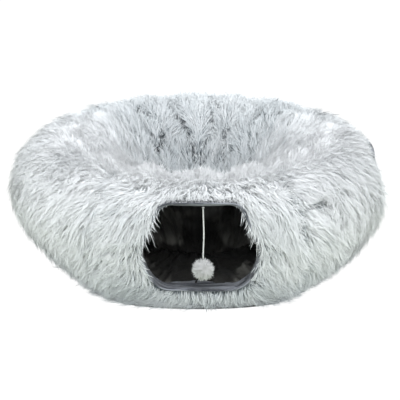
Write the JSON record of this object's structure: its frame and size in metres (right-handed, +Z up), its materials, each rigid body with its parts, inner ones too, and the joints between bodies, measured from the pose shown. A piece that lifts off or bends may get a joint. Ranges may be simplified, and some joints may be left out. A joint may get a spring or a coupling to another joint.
{
  "type": "donut cat tunnel",
  "caption": "Padded plush ring with a lined walk-through tunnel inside, entrances at the front and side, a pleated round well in the middle and a hanging pompom toy.",
  "frame": {"origin": "middle of the base cloth's underside, on the surface that the ring stands on", "axes": "+Z up, -Y towards the front entrance, +X towards the side entrance"},
  "size_m": [0.7503, 0.7386, 0.258],
  "materials": {
    "white_plush": "long-pile plush, white tips on dark roots",
    "wadding": "polyester wadding",
    "black_lining": "thin creased non-woven cloth",
    "grey_nylon": "slightly glossy woven nylon",
    "base_cloth": "matt dark cloth with small rubber dots",
    "white_yarn": "braided elastic",
    "pompom_yarn": "fluffy cut yarn"
  },
  "bodies": {
    "tunnel": {"front_wall_fur": "white_plush", "front_wall_wadding": "wadding", "front_wall_lining": "black_lining", "front_well_fur": "white_plush", "front_well_wadding": "wadding", "front_well_lining": "black_lining", "right_wall_fur": "white_plush", "right_wall_wadding": "wadding", "right_wall_lining": "black_lining", "right_well_fur": "white_plush", "right_well_wadding": "wadding", "right_well_lining": "black_lining", "rear_wall_fur": "white_plush", "rear_wall_wadding": "wadding", "rear_wall_lining": "black_lining", "rear_well_fur": "white_plush", "rear_well_wadding": "wadding", "rear_well_lining": "black_lining", "left_wall_fur": "white_plush", "left_wall_wadding": "wadding", "left_wall_lining": "black_lining", "left_well_fur": "white_plush", "left_well_wadding": "wadding", "left_well_lining": "black_lining", "front_entrance_facing": "grey_nylon", "right_entrance_facing": "grey_nylon", "front_threshold": "grey_nylon", "right_threshold": "grey_nylon", "floor_wadding": "wadding", "floor_lining": "black_lining", "base_cloth": "base_cloth", "centre_mat": "white_plush"},
    "toy_hanger": {"toy_knot": "white_yarn"},
    "toy_string": {"toy_elastic": "white_yarn"},
    "toy_ball": {"toy_pompom": "pompom_yarn"}
  },
  "joints": [
    {"name": "toy_swing_sideways", "type": "hinge", "parent": "tunnel", "child": "toy_hanger", "pos_m": [0.007, -0.33794, 0.2064], "axis": [0, 1, 0], "range_deg": [-30, 30]},
    {"name": "toy_swing_in_out", "type": "hinge", "parent": "toy_hanger", "child": "toy_string", "pos_m": [0.007, -0.33794, 0.2064], "axis": [1, 0, 0], "range_deg": [-40, 40]},
    {"name": "toy_stretch", "type": "slide", "parent": "toy_string", "child": "toy_ball", "axis": [0, 0, -1], "range_m": [0, 0.015], "stiffness_N_per_m": 60, "springref_m": -0.002, "deforming": ["toy_elastic"]}
  ]
}
